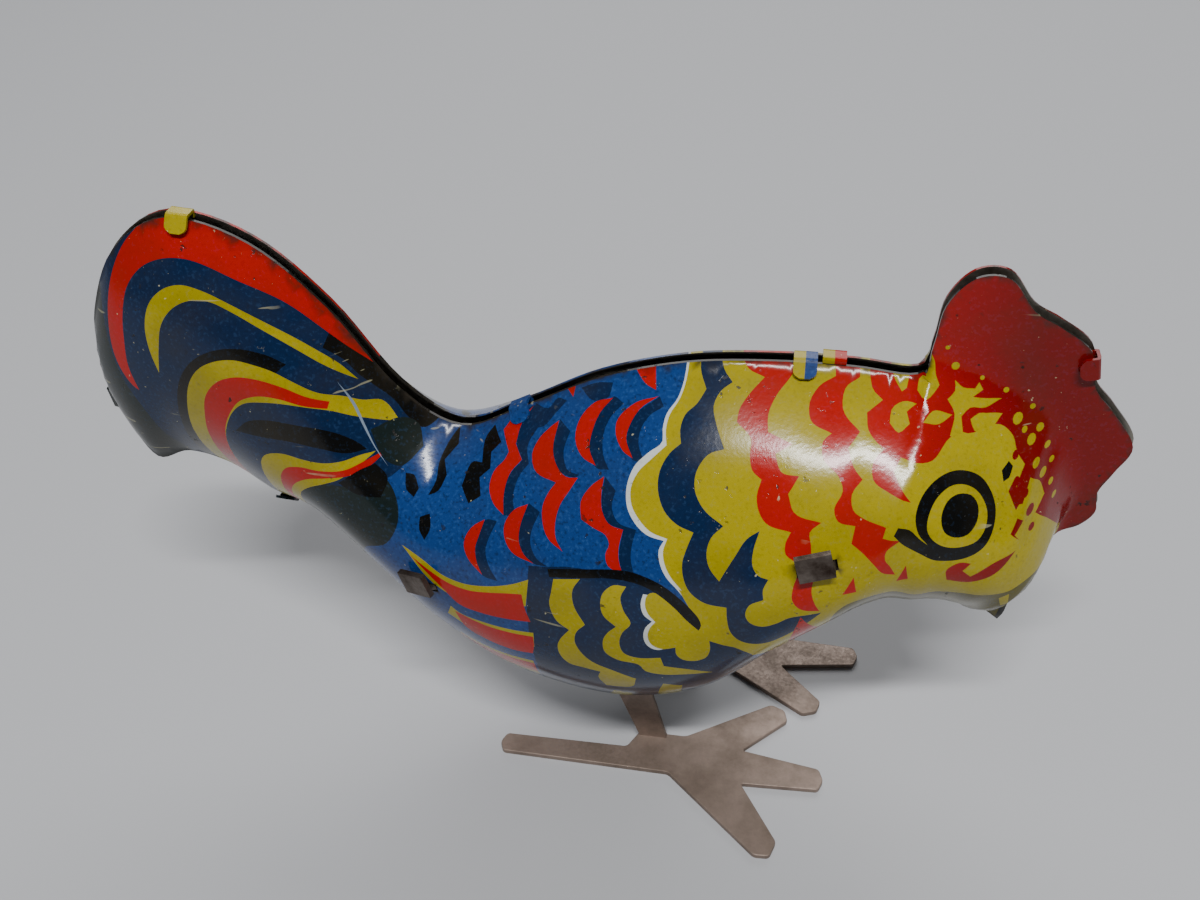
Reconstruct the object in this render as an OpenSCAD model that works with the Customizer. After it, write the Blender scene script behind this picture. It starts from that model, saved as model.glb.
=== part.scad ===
// Wind-up hopping rooster in printed tinplate: two pressed half shells held by
// bent tabs, a riveted spring motor inside, and a pair of stamped legs that the
// motor rocks to make it hop.  +X is towards the beak, +Z is up, the winding key
// is on the rooster's left side (+Y).  The soles stand on z = 0.

/* [Shells] */
// Thickness of the tinplate
tin = 0.3; // [0.25:0.05:0.35]
// Half width of the body at its widest, the pressing depth of one shell
press_depth = 14.8; // [14:0.2:16]
// Gap between the rims of the two shells
rim_gap = 0.7; // [0.5:0.1:0.9]
// How far the left shell's rim stands out past the right one's
rim_lip = 0.3; // [0.1:0.1:0.4]

// How round a section is, from 2 for a lens to more for fuller shoulders
press_round = 2.15; // [2:0.05:2.4]

/* [Motor] */
// Outer half width of the motor frame
frame_half = 7.5; // [7.4:0.1:7.8]
// Thickness of the frame plates
plate_t = 0.6; // [0.5:0.1:0.7]
// Tooth module of the whole train
tooth_m = 0.5; // [0.5:0.01:0.5]
// Teeth on the great wheel
great_teeth = 36; // [36:1:36]
// Teeth on the second wheel
second_teeth = 30; // [30:1:30]
// Teeth on both pinions
pinion_teeth = 8; // [8:1:8]
// Radius of the winding arbor
wind_r = 1.8; // [1.6:0.1:1.9]
// Radius of the two lighter arbors
arbor_r = 0.8; // [0.6:0.1:0.9]
// Radial play of an arbor in its plate
play = 0.05; // [0.03:0.01:0.08]

/* [Legs] */
// Thickness of the stamped legs and feet
leg_t = 0.6; // [0.5:0.1:0.6]
// Length of a foot from the rear toe to the middle toe
foot_len = 36; // [34:0.5:37]
// Distance of each foot's centre line from the middle of the body
foot_y = 9.2; // [9:0.1:9.6]
// How far the left foot is bent forward of the right one
left_foot_lead = 3.6; // [3.4:0.1:4]
// Width of a leg strip
leg_w = 3; // [2.6:0.1:3.2]

/* [Key] */
// Span of the key's two wings
key_span = 19; // [16:0.5:22]
// Length of the key from hub to wing tips
key_len = 11; // [9:0.5:12]

/* [Hidden] */

// --- Shell surface ------------------------------------------------------
// Each station is [bottom rim x, z, top rim x, z, share of the full pressing
// depth].  What reaches past the round of the head stays flat, as the comb.
STATIONS = [
    [-58.2, 40.6, -58.1, 44.2, 0.02], [-57.5, 36.0, -56.9, 49.4, 0.10],
    [-55.4, 31.2, -52.9, 56.2, 0.20], [-51.4, 32.4, -46.5, 60.0, 0.28],
    [-47.0, 31.2, -38.9, 57.8, 0.35], [-42.4, 27.8, -32.4, 51.4, 0.42],
    [-38.0, 26.8, -26.8, 42.8, 0.48], [-33.0, 21.6, -20.8, 38.8, 0.58],
    [-26.0, 13.2, -14.0, 41.8, 0.75], [-17.0, 6.4, -6.6, 45.7, 0.91],
    [-6.0, 3.8, 1.4, 48.1, 1.00], [3.2, 6.8, 9.4, 48.9, 1.00],
    [9.6, 14.4, 16.4, 48.9, 0.95], [15.4, 20.4, 22.0, 48.6, 0.86],
    [19.0, 22.6, 22.9, 51.6, 0.81], [21.4, 23.2, 23.4, 55.6, 0.77],
    [23.2, 22.9, 25.4, 58.4, 0.75], [24.2, 23.0, 28.2, 58.5, 0.72],
    [25.0, 23.1, 30.6, 55.6, 0.70], [25.7, 23.1, 33.0, 54.2, 0.68],
    [26.3, 23.1, 35.9, 52.0, 0.66], [26.8, 23.0, 37.0, 48.3, 0.63],
    [27.2, 23.0, 39.0, 45.9, 0.59], [27.6, 22.9, 41.4, 42.4, 0.54],
    [28.0, 22.8, 40.5, 39.4, 0.48], [28.3, 22.7, 39.6, 36.9, 0.40],
    [28.7, 22.5, 39.9, 34.6, 0.30], [29.1, 22.3, 38.8, 32.8, 0.20],
    [29.6, 22.0, 36.8, 31.4, 0.13], [30.8, 21.4, 35.3, 27.8, 0.08],
    [32.2, 20.5, 34.6, 24.2, 0.04], [33.7, 19.3, 34.2, 20.7, 0.02]];
head_centre = [24.3, 35.8];
head_r = 13.2;
comb_from = 20;
// From the neck to the face the upper side of the pressing runs out softly
neck_from = 20;
neck_blend = 8;
COLS = 2 * (len(STATIONS) - 1);
ROWS = 20;
// Fold lines of the tabs: [station, on the top rim, folded from the left shell]
TABS = [[3.2, true, true], [0.35, false, true], [5.3, false, true], [7.9, true, true],
    [11.37, true, true], [11.74, true, false], [20.45, true, true], [10.4, false, true]];
tab_w = 2.1;
tab_len = 1.5;
tab_rise = 0.15;

// Catmull-Rom value between b and c at t
function blend(a, b, c, d, t) = 0.5 * (2 * b + (c - a) * t
    + (2 * a - 5 * b + 4 * c - d) * t * t + (3 * b - 3 * c + d - a) * t * t * t);
function clamp_at(i) = STATIONS[max(0, min(len(STATIONS) - 1, i))];
function station(u) = let (i = min(floor(u), len(STATIONS) - 2))
    blend(clamp_at(i - 1), clamp_at(i), clamp_at(i + 1), clamp_at(i + 2), u - i);
// Share of a section that lies past the head's round, on the comb
function flat_share(st) = let (
    span = norm([st[2] - st[0], st[3] - st[1]]), d = rim_unit(st),
    f = [st[0] - head_centre[0], st[1] - head_centre[1]], b = f * d,
    disc = head_r * head_r - (f * f - b * b))
    st[2] < comb_from || disc < 0 ? 0 : max(0, 1 - (-b + sqrt(disc)) / span);
function softness(x) = let (t = max(0, min(1, (x - neck_from) / neck_blend))) t * t * (3 - 2 * t);
// Pressed height at v, 0 at the bottom rim and 1 at the top rim
function bulge(st, v) = let (s = min(1, 2 * v / (1 - flat_share(st)) - 1))
    press_depth * st[4] * (1 - pow(abs(s), press_round))
    * (1 - softness(st[2]) * pow(max(0, s), 3));
function rim_unit(st) = let (d = [st[2] - st[0], st[3] - st[1]]) d / norm(d);
// Point on the outer (skin = 1) or inner (skin = 0) face of the left shell
function skin_point(u, v, skin, lip) = let (
    st = station(u), d = rim_unit(st),
    h = bulge(st, v), reach = (2 * v - 1) * lip,
    y = skin == 1 ? tin + h : max(0, h - 1.6 * tin * h / (h + 1)))
    [st[0] + (st[2] - st[0]) * v + d[0] * reach, rim_gap / 2 + y,
     st[1] + (st[3] - st[1]) * v + d[1] * reach];

function grid_index(skin, i, j) = (skin * (COLS + 1) + i) * (ROWS + 1) + j;
function grid_faces(skin) = [for (i = [0:COLS - 1], j = [0:ROWS - 1]) let (
    a = grid_index(skin, i, j), b = grid_index(skin, i + 1, j),
    c = grid_index(skin, i + 1, j + 1), d = grid_index(skin, i, j + 1))
    each skin == 1 ? [[a, c, b], [a, d, c]] : [[a, b, c], [a, c, d]]];
function edge_faces(i0, j0, i1, j1) = let (
    a = grid_index(0, i0, j0), b = grid_index(0, i1, j1),
    c = grid_index(1, i1, j1), d = grid_index(1, i0, j0)) [[a, c, b], [a, d, c]];

// One pressed half shell with its rims, left side
module pressing(lip) {
    points = [for (skin = [0, 1], i = [0:COLS], j = [0:ROWS])
        skin_point(i / 2, j / ROWS, skin, lip)];
    rims = concat(
        [for (i = [0:COLS - 1]) each edge_faces(i + 1, 0, i, 0)],
        [for (i = [0:COLS - 1]) each edge_faces(i, ROWS, i + 1, ROWS)],
        [for (j = [0:ROWS - 1]) each edge_faces(0, j, 0, j + 1)],
        [for (j = [0:ROWS - 1]) each edge_faces(COLS, j + 1, COLS, j)]);
    polyhedron(points = points, faces = concat(grid_faces(0), grid_faces(1), rims));
}

// A tab on the left shell's rim, bent down over the right shell
module tab(u, top, lip, rise) {
    st = station(u);
    step = 0.05;
    here = skin_point(u, top ? 1 : 0, 0, lip);
    ahead = skin_point(u + step, top ? 1 : 0, 0, lip) - skin_point(u - step, top ? 1 : 0, 0, lip);
    turn = atan2(ahead[2], ahead[0]);
    half_span = norm([st[2] - st[0], st[3] - st[1]]) * (1 - flat_share(st)) / 2;
    drop = flat_share(st) > 0.02 ? 87 : atan2(half_span, press_round * press_depth * st[4]) + 3;
    over = rim_gap + 2 * tin + 0.1;
    translate([here[0], here[1], here[2]])
        rotate([0, -turn, 0])
        mirror([0, 0, top ? 0 : 1])
        rotate([90, 0, 90])
        translate([0, 0, -tab_w / 2])
        linear_extrude(tab_w)
        polygon([[0, -0.5], [tin, -0.5], [tin, rise + tin], [-over, rise + tin],
            [-over - tab_len * cos(drop), rise + tin - tab_len * sin(drop)],
            [-over - tab_len * cos(drop) + tin * sin(drop),
             rise + tin - tab_len * sin(drop) - tin * cos(drop)],
            [-over + tin * tan(drop / 2), rise], [0, rise]]);
}

module slot_cutters(lead) {
    for (spot = [front_lug, rear_lug])
        translate([spot[0], 0, spot[1]])
            rotate([0, -motor_tilt, 0])
            translate([-lug_w / 2 - lug_slack, 3, -plate_t / 2 - lug_slack])
            cube([lug_w + 2 * lug_slack, 20, plate_t + 2 * lug_slack]);
    translate([leg_pivot[0] + (foot_x(lead) - leg_pivot[0]) * 0.5 - leg_slot / 2, leg_y - 0.9, 0])
        cube([leg_slot, leg_t + 1.8, 12]);
}

// --- Motor layout in the X-Z plane --------------------------------------
motor_tilt = 15;
great_at = [-7.5, 25.5];
pinion_r = tooth_m * pinion_teeth / 2;
great_r = tooth_m * great_teeth / 2;
second_r = tooth_m * second_teeth / 2;
mesh_slack = 0.08;
second_angle = 30;
crank_angle = -46;
function along(from, length, angle) = from + length * [cos(angle), sin(angle)];
second_at = along(great_at, great_r + pinion_r + mesh_slack, second_angle);
crank_at = along(second_at, second_r + pinion_r + mesh_slack, crank_angle);
leg_pivot = [-4.5, 14.3];
leg_y = 5.5;
axle_r = 1;
front_pillar_at = [12, 33.2];
rear_pillar_at = [-18.9, 24.2];
lower_pillar_at = [-10.5, 14.4];
PLATE = [[-22.2, 23.4], [-20.8, 29.2], [-15.6, 32.6], [-6, 37], [9, 38.2], [14.2, 35.4],
    [12.6, 22], [4.2, 14.6], [-1.4, 11.2], [-7.4, 11.2], [-14, 12.8]];
pillar_r = 1.3;
tenon_r = 0.8;
plate_in = frame_half - plate_t;
front_lug = [14.6, 36.4];
rear_lug = [-23.4, 26];
lug_w = 3.2;
lug_fold = 2.7;
lug_slack = 0.2;
leg_slot = 8.6;
front_lug_y = 14.35;
rear_lug_y = 11.15;

// Where each piece sits across the motor
great_wheel_y = 0;
wheel_t = 0.8;
ratchet_y = 1.2;
second_wheel_y = 2.6;
disc_y = -0.9;
fork_y = -2.4;
spring_y = -5.8;
spring_w = 3.2;
shell_side = 15;
key_y = shell_side + 1.2;
key_out = key_y + key_len;
toe_spread = 10.2;

// The row origin is at the middle of the whole toy's box, on the ground
middle_x = -8.4;
middle_y = (key_out - foot_y - toe_spread) / 2;

module rod(at, r, y0, y1) {
    translate([at[0], y1, at[1]])
        rotate([90, 0, 0])
        cylinder(r = r, h = y1 - y0, $fn = 48);
}

// A flat shape drawn in X-Z, y0 to y0 + t across the toy
module flat(y0, t) {
    translate([0, y0 + t, 0])
        rotate([90, 0, 0])
        linear_extrude(t)
        children();
}

module spot(at) {
    translate(at)
        children();
}

module to_row() {
    translate([-middle_x, -middle_y, 0])
        children();
}

// --- Gears ----------------------------------------------------------------
tooth_thin = 0.80;
function inv(a) = tan(a) * 180 / PI - a;
function half_tooth(teeth, r) = let (rb = tooth_m * teeth / 2 * cos(20))
    90 / teeth * tooth_thin + inv(20) - (r > rb ? inv(acos(rb / r)) : 0);
function gear_outline(teeth, phase) = let (
    rp = tooth_m * teeth / 2,
    radii = [rp - 1.15 * tooth_m, rp * cos(20), rp, rp + 0.4 * tooth_m, rp + 0.8 * tooth_m],
    rs = [for (r = radii) max(r, rp - 1.15 * tooth_m)])
    [for (k = [0:teeth - 1], side = [-1, 1], q = [0:4]) let (
        r = side < 0 ? rs[q] : rs[4 - q],
        a = phase + k * 360 / teeth + side * max(0.5, half_tooth(teeth, r)))
        r * [cos(a), sin(a)]];
great_phase = second_angle;
// Both pinions sit with a gap facing the tooth of the wheel that drives them
second_pinion_phase = second_angle + 180 + 180 / pinion_teeth;
second_wheel_phase = crank_angle;
crank_pinion_phase = crank_angle + 180 + 180 / pinion_teeth;

module toothed(at, teeth, phase, y0, t, bore) {
    flat(y0, t)
        spot(at)
        difference() {
            polygon(gear_outline(teeth, phase));
            circle(r = bore, $fn = 48);
        }
}

// --- Shells -----------------------------------------------------------------
module left_shell() {
    color("#1c4f94") to_row()
        difference() {
            union() {
                pressing(rim_lip);
                for (t = TABS)
                    if (t[2]) tab(t[0], t[1], rim_lip, tab_rise);
            }
            slot_cutters(left_foot_lead);
            rod(great_at, 3.2, 5, 20);
        }
}

module right_shell() {
    color("#c8201e") to_row() mirror([0, 1, 0])
        difference() {
            union() {
                pressing(0);
                for (t = TABS)
                    if (!t[2]) tab(t[0], t[1], 0, tab_rise + rim_lip);
            }
            slot_cutters(0);
        }
}

// --- Frame ------------------------------------------------------------------
// Bent lug: out through the shell, then folded over its face.  turn follows the
// slope of the shell where the lug comes out.
module lug(at, shell_y, turn) {
    translate([at[0], 0, at[1]])
        rotate([0, -motor_tilt, 0]) {
            translate([-lug_w / 2, plate_in, -plate_t / 2])
                cube([lug_w, shell_y - plate_in, plate_t]);
            translate([0, shell_y, 0])
                rotate([0, 0, turn])
                translate([-lug_w / 2, 0, -plate_t / 2])
                cube([lug_w, plate_t, lug_fold]);
        }
}

module frame_plate() {
    difference() {
        union() {
            flat(plate_in, plate_t)
                polygon(PLATE);
            lug(front_lug, front_lug_y, -8);
            lug(rear_lug, rear_lug_y, 22);
            translate([rear_lug[0], plate_in, rear_lug[1]])
                rotate([0, -motor_tilt, 0])
                translate([-lug_w / 2, 0, -1.6])
                cube([lug_w + 1, plate_t, 3.2]);
        }
        rod(great_at, wind_r + play, 0, 20);
        rod(second_at, arbor_r + play, 0, 20);
        rod(crank_at, arbor_r + play, 0, 20);
        for (at = [leg_pivot, front_pillar_at, rear_pillar_at, lower_pillar_at, post_at])
            rod(at, tenon_r, 0, 20);
    }
}
post_at = [-16.2, 19.4];

module left_plate() {
    color("#6e645c") to_row() frame_plate();
}

module right_plate() {
    color("#6e645c") to_row() mirror([0, 1, 0]) frame_plate();
}

// Shouldered pillar riveted into both plates
module pillar(at, r) {
    rod(at, r, -plate_in, plate_in);
    rod(at, tenon_r, -frame_half, frame_half);
    for (side = [-1, 1])
        rod(at, tenon_r + 0.6, side < 0 ? -frame_half - 0.5 : frame_half,
            side < 0 ? -frame_half : frame_half + 0.5);
}

module front_pillar() {
    color("#8a8680") to_row() pillar(front_pillar_at, pillar_r);
}

module rear_pillar() {
    color("#8a8680") to_row() pillar(rear_pillar_at, pillar_r);
}

module lower_pillar() {
    color("#8a8680") to_row() pillar(lower_pillar_at, pillar_r);
}

module spring_post() {
    color("#8a8680") to_row() pillar(post_at, tenon_r);
}

module leg_axle() {
    color("#8a8680") to_row() pillar(leg_pivot, axle_r);
}

// --- Spring and winding side ---------------------------------------------
spring_turns = 6;
spring_in = wind_r + 0.5;
spring_out = 8.4;
spring_t = 0.3;
post_angle = atan2(post_at[1] - great_at[1], post_at[0] - great_at[0]);
function coil_r(a) = spring_in + (spring_out - spring_in) * a / (360 * spring_turns);

module mainspring() {
    steps = 24 * spring_turns;
    turn = 360 * spring_turns / steps;
    end_a = 360 * spring_turns;
    hook = norm(post_at - great_at) - tenon_r - 0.1;
    start = post_angle - 14;
    color("#4a5058") to_row()
        flat(spring_y, spring_w)
        spot(great_at)
        polygon(concat(
            [for (i = [0:steps]) let (a = i * turn) coil_r(a) * [cos(start + a), sin(start + a)]],
            [hook * [cos(post_angle - 2), sin(post_angle - 2)],
             (hook + spring_t) * [cos(post_angle - 4), sin(post_angle - 4)]],
            [for (i = [steps:-1:0]) let (a = i * turn)
                (coil_r(a) + spring_t) * [cos(start + a), sin(start + a)]]));
}

bush_r = 3;
module great_wheel() {
    color("#b8923a") to_row()
        toothed(great_at, great_teeth, great_phase, great_wheel_y, wheel_t, bush_r);
}

module great_bush() {
    color("#a8873c") to_row() difference() {
        rod(great_at, bush_r, great_wheel_y - 0.4, great_wheel_y + wheel_t);
        rod(great_at, wind_r + play, -10, 10);
    }
}

ratchet_teeth = 12;
ratchet_out = 4.6;
ratchet_in = 3.8;
click_at = along(great_at, 7, 200);
module ratchet_wheel() {
    color("#9a958c") to_row()
        flat(ratchet_y, wheel_t)
        spot(great_at)
        difference() {
            polygon([for (k = [0:ratchet_teeth - 1], q = [0, 1]) let (
                a = 200 + 30 * k + (q == 0 ? 0 : 2))
                (q == 0 ? ratchet_in : ratchet_out) * [cos(a), sin(a)]]);
            circle(r = wind_r, $fn = 48);
        }
}

// Pawl riveted to the great wheel, its nose in a ratchet gap
module click() {
    color("#9a958c") to_row()
        flat(ratchet_y, wheel_t)
        difference() {
            union() {
                spot(click_at) circle(r = 1.3, $fn = 32);
                polygon([along(click_at, 1.1, 140), along(great_at, 5, 160),
                    along(great_at, 4.05, 165), along(great_at, 4.8, 171),
                    along(click_at, 1.1, -40)]);
            }
            spot(click_at) circle(r = 0.6, $fn = 24);
        }
}

module click_rivet() {
    color("#8a8680") to_row() {
        rod(click_at, 0.6, great_wheel_y + wheel_t, ratchet_y + wheel_t);
        rod(click_at, 1, ratchet_y + wheel_t, ratchet_y + wheel_t + 0.3);
    }
}

// Leaf spring that keeps the click down, riveted to the great wheel
module click_spring() {
    color("#4a5058") to_row()
        flat(great_wheel_y + wheel_t, 1) {
            polygon([along(great_at, 8, 130), along(great_at, 5.9, 165),
                along(great_at, 6.15, 166), along(great_at, 8.3, 131)]);
            spot(along(great_at, 7.9, 130)) circle(r = 0.5, $fn = 24);
        }
}

module winding_arbor() {
    color("#8a8680") to_row() {
        rod(great_at, wind_r, -frame_half - 0.6, key_y + 1);
        translate([great_at[0] - 1.1, key_y + 1, great_at[1] - 1.1])
            cube([2.2, 4, 2.2]);
    }
}

module arbor_nut() {
    color("#8a8680") to_row() difference() {
        rod(great_at, 2.8, frame_half + 0.15, frame_half + 0.95);
        rod(great_at, wind_r, 0, 20);
    }
}

// Stamped key: a rolled hub and two flat wings
wing_r = 4;
module key() {
    color("#b9b5ac") to_row() {
        difference() {
            rod(great_at, 2.4, key_y, key_y + 6);
            rod(great_at, wind_r, key_y - 1, key_y + 1);
            translate([great_at[0] - 1.1, key_y, great_at[1] - 1.1])
                cube([2.2, 5, 2.2]);
        }
        translate([great_at[0], key_out - wing_r, great_at[1]])
            linear_extrude(0.8, center = true)
            difference() {
                union() {
                    for (side = [-1, 1])
                        translate([side * (key_span / 2 - wing_r), 0])
                            circle(r = wing_r, $fn = 40);
                    translate([-key_span / 2 + wing_r, -2.6])
                        square([key_span - 2 * wing_r, 4]);
                }
                for (side = [-1, 1])
                    translate([side * (key_span / 2 - wing_r), 0])
                        circle(r = 1.7, $fn = 32);
            }
    }
}

// --- Train --------------------------------------------------------------------
module second_arbor() {
    color("#8a8680") to_row() rod(second_at, arbor_r, -frame_half - 0.5, frame_half + 0.5);
}

module second_pinion() {
    color("#b8923a") to_row()
        toothed(second_at, pinion_teeth, second_pinion_phase, -0.4, 2.9, arbor_r);
}

module second_wheel() {
    color("#b8923a") to_row()
        toothed(second_at, second_teeth, second_wheel_phase, second_wheel_y, wheel_t, arbor_r);
}

module crank_arbor() {
    color("#8a8680") to_row() rod(crank_at, arbor_r, -frame_half - 0.5, frame_half + 0.5);
}

module crank_pinion() {
    color("#b8923a") to_row()
        toothed(crank_at, pinion_teeth, crank_pinion_phase, second_wheel_y - 0.3, 1.4, arbor_r);
}

disc_r = 3.4;
crank_throw = 2.4;
pin_r = 0.6;
module crank_disc() {
    color("#9a958c") to_row() difference() {
        rod(crank_at, disc_r, disc_y, disc_y + wheel_t);
        rod(crank_at, arbor_r, -5, 5);
        rod(along(crank_at, crank_throw, 35), pin_r, -5, 5);
    }
}

module crank_pin() {
    color("#8a8680") to_row()
        rod(along(crank_at, crank_throw, 35), pin_r, fork_y + leg_t + 0.15, disc_y + wheel_t);
}

// --- Legs ---------------------------------------------------------------------
function foot_x(lead) = -0.9 + lead;
fork_angle = atan2(crank_at[1] - leg_pivot[1], crank_at[0] - leg_pivot[0]);
fork_reach = norm(crank_at - leg_pivot);
fork_gap = 7.6;
fork_w = 10.4;
yoke_bar = [4.8, -1.6];

// Cross bar between the legs with the fork that the crank pin works in
module leg_yoke() {
    color("#7d726a") to_row() {
        translate([leg_pivot[0], 0, leg_pivot[1]])
            rotate([0, -fork_angle, 0]) {
                translate([yoke_bar[0] - 2.2, -leg_y, yoke_bar[1]])
                    cube([3, 2 * leg_y, leg_t]);
                flat(fork_y, leg_t)
                    difference() {
                        translate([yoke_bar[0] - 2.2, yoke_bar[1]])
                            polygon([[0, 0], [4, -0.4], [fork_reach - 5, 2 - fork_w / 2],
                                [fork_reach - 2.4, 2 - fork_w / 2], [fork_reach - 1.4, 3 - fork_w / 2],
                                [fork_reach - 1.4, 1.6 + fork_w / 2],
                                [fork_reach - 5, 1.6 + fork_w / 2], [2.2, 3.2], [0, 2.8]]);
                        translate([fork_reach - 4, -fork_gap / 2])
                            square([8, fork_gap]);
                    }
                for (side = [-1, 1])
                    translate([yoke_bar[0] - 2.2, side * (leg_y - leg_t / 2) - leg_t / 2, yoke_bar[1]])
                        cube([3, leg_t, 3.2]);
            }
    }
}

module yoke_rivets() {
    color("#8a8680") to_row()
        for (side = [-1, 1])
            translate([leg_pivot[0], 0, leg_pivot[1]])
                rotate([0, -fork_angle, 0])
                rod([yoke_bar[0] - 0.7, yoke_bar[1] + 1.8], 0.5,
                    side < 0 ? -leg_y - leg_t - 0.25 : leg_y - leg_t,
                    side < 0 ? -leg_y + leg_t : leg_y + leg_t + 0.25);
}

// Foot outline: rear toe tip at the origin, x forward, y outwards
FOOT = [[0.5, -1.2], [0, 0], [0.5, 1.2], [19.2, 1.4], [29.2, toe_spread], [30.8, toe_spread - 0.1], [31.4, 8.3],
    [27.2, 1.7], [35.5, 1.3], [36, 0], [35.5, -1.4], [27, -2.7], [31.8, -7.5], [31.4, -9],
    [29.8, -9.6], [20.6, -3.7], [15.4, -3.7], [14.2, -1.4]];

module leg(lead) {
    scale_x = foot_len / 36;
    rear = foot_x(lead) - 17.1 * scale_x;
    translate([rear, 0, 0])
        linear_extrude(leg_t)
        polygon([for (p = FOOT) [p[0] * scale_x, foot_y + p[1]]]);
    difference() {
        flat(leg_y, leg_t)
            union() {
                polygon([[foot_x(lead) - leg_w / 2, 0], [foot_x(lead) + leg_w / 2, 0],
                    leg_pivot + [1.9, -1.6], leg_pivot + [-2.3, -0.9]]);
                spot(leg_pivot) circle(r = 2.5, $fn = 48);
                spot(leg_pivot) rotate(fork_angle) translate([0, yoke_bar[1]]) square([6, 3.6]);
            }
        rod(leg_pivot, axle_r + play, 0, 20);
        translate([leg_pivot[0], 0, leg_pivot[1]])
            rotate([0, -fork_angle, 0])
            rod([yoke_bar[0] - 0.7, yoke_bar[1] + 1.8], 0.5, 0, 20);
    }
}

module left_leg() {
    color("#8f8078") to_row() leg(left_foot_lead);
}

module right_leg() {
    color("#8f8078") to_row() mirror([0, 1, 0]) leg(0);
}

// Short tubes on the axle that keep the legs apart
module leg_bushes() {
    color("#9a958c") to_row()
        for (side = [-1, 1])
            difference() {
                rod(leg_pivot, axle_r + 0.6, side < 0 ? -leg_y : leg_y - 3, side < 0 ? -leg_y + 3 : leg_y);
                rod(leg_pivot, axle_r + play, -20, 20);
            }
}

right_shell();
left_shell();
right_plate();
left_plate();
front_pillar();
rear_pillar();
lower_pillar();
leg_axle();
mainspring();
spring_post();
great_wheel();
great_bush();
click();
click_rivet();
click_spring();
winding_arbor();
ratchet_wheel();
arbor_nut();
key();
second_arbor();
second_pinion();
second_wheel();
crank_arbor();
crank_pinion();
crank_disc();
crank_pin();
leg_yoke();
yoke_rivets();
right_leg();
left_leg();
leg_bushes();
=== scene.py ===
"""A wind-up hopping rooster in printed tinplate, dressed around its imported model.

Lengths are in millimetres in the maker's own frame (x forward from the middle of the
right foot, y to the rooster's left, z up) until point() places them in metres.
"""
import math

import bmesh
import bpy
from mathutils import Matrix, Vector
from mathutils.bvhtree import BVHTree
from mathutils.geometry import delaunay_2d_cdt


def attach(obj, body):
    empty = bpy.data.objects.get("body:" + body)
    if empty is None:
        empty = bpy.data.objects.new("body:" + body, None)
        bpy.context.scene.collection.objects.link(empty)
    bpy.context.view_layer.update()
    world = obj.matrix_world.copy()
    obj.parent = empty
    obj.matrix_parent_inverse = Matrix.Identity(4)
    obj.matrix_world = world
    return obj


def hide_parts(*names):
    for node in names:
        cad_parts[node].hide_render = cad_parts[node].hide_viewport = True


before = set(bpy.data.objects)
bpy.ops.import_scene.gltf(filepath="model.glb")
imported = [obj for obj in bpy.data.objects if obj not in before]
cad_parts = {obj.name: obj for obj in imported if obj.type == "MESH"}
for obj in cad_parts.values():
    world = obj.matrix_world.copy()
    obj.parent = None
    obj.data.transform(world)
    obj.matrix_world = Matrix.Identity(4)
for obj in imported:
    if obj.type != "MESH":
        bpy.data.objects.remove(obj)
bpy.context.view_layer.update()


# --- Spring motor ---------------------------------------------------------
# Two blanked steel plates carry riveted pillars, brass wheels on turned steel
# arbors and a blued spring.  It sits inside the body, so its parts keep their
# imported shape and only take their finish.
def linear(colour):
    """An sRGB hex colour as linear red, green, blue and alpha."""
    parts = [int(colour[i:i + 2], 16) / 255 for i in (0, 2, 4)]
    return [c / 12.92 if c < 0.04045 else ((c + 0.055) / 1.055) ** 2.4 for c in parts] + [1]


def add(tree, kind, settings, inputs):
    """A node of one kind with its settings; an input takes a socket or a plain value."""
    node = tree.nodes.new("ShaderNode" + kind)
    for name, value in settings.items():
        setattr(node, name, value)
    for name, value in inputs.items():
        if isinstance(value, bpy.types.NodeSocket):
            tree.links.new(value, node.inputs[name])
        else:
            node.inputs[name].default_value = value
    return node


def worn_metal(name, clean, dull, roughness, patch_mm, scratch_mm, metallic=1.0):
    """Bare metal with duller patches patch_mm across and fine marks scratch_mm apart."""
    material = bpy.data.materials.new(name)
    material.use_nodes = True
    tree = material.node_tree
    shader = tree.nodes["Principled BSDF"]
    shader.inputs["Metallic"].default_value = metallic
    place = add(tree, "TexCoord", {}, {}).outputs["Object"]
    patches = add(tree, "TexNoise", {}, {"Vector": place, "Scale": 1000 / patch_mm,
                                         "Detail": 6, "Roughness": 0.65}).outputs["Fac"]
    marks = add(tree, "TexNoise", {}, {"Vector": place, "Scale": 1000 / scratch_mm,
                                       "Detail": 3, "Roughness": 0.6}).outputs["Fac"]
    spread = add(tree, "MapRange", {}, {"Value": patches, "From Min": 0.38, "From Max": 0.68})
    tone = add(tree, "Mix", {"data_type": "RGBA"},
               {0: spread.outputs["Result"], 6: linear(clean), 7: linear(dull)})
    tree.links.new(tone.outputs[2], shader.inputs["Base Color"])
    both = add(tree, "Math", {"operation": "ADD"}, {0: patches, 1: marks})
    rough = add(tree, "MapRange", {}, {"Value": both.outputs[0], "From Min": 0.7,
                                       "From Max": 1.3, "To Min": roughness * 0.75,
                                       "To Max": min(1, roughness * 1.45)})
    tree.links.new(rough.outputs["Result"], shader.inputs["Roughness"])
    bump = add(tree, "Bump", {}, {"Height": marks, "Strength": 0.35, "Distance": 0.00004})
    tree.links.new(bump.outputs["Normal"], shader.inputs["Normal"])
    return material


def finish_nodes(material, *names):
    """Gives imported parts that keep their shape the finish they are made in."""
    for name in names:
        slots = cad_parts[name].data.materials
        slots.clear()
        slots.append(material)


# Rolled mild steel, blanked and left dark: brown oxide over grey.
frame_steel = worn_metal("dark_rolled_steel", "6B625B", "33261E", 0.5, 3, 0.25, 0.85)
# Turned steel: clean and fairly bright, with fine tool marks.
turned_steel = worn_metal("turned_steel", "B4B0AA", "7C756C", 0.32, 2, 0.15)
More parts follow.
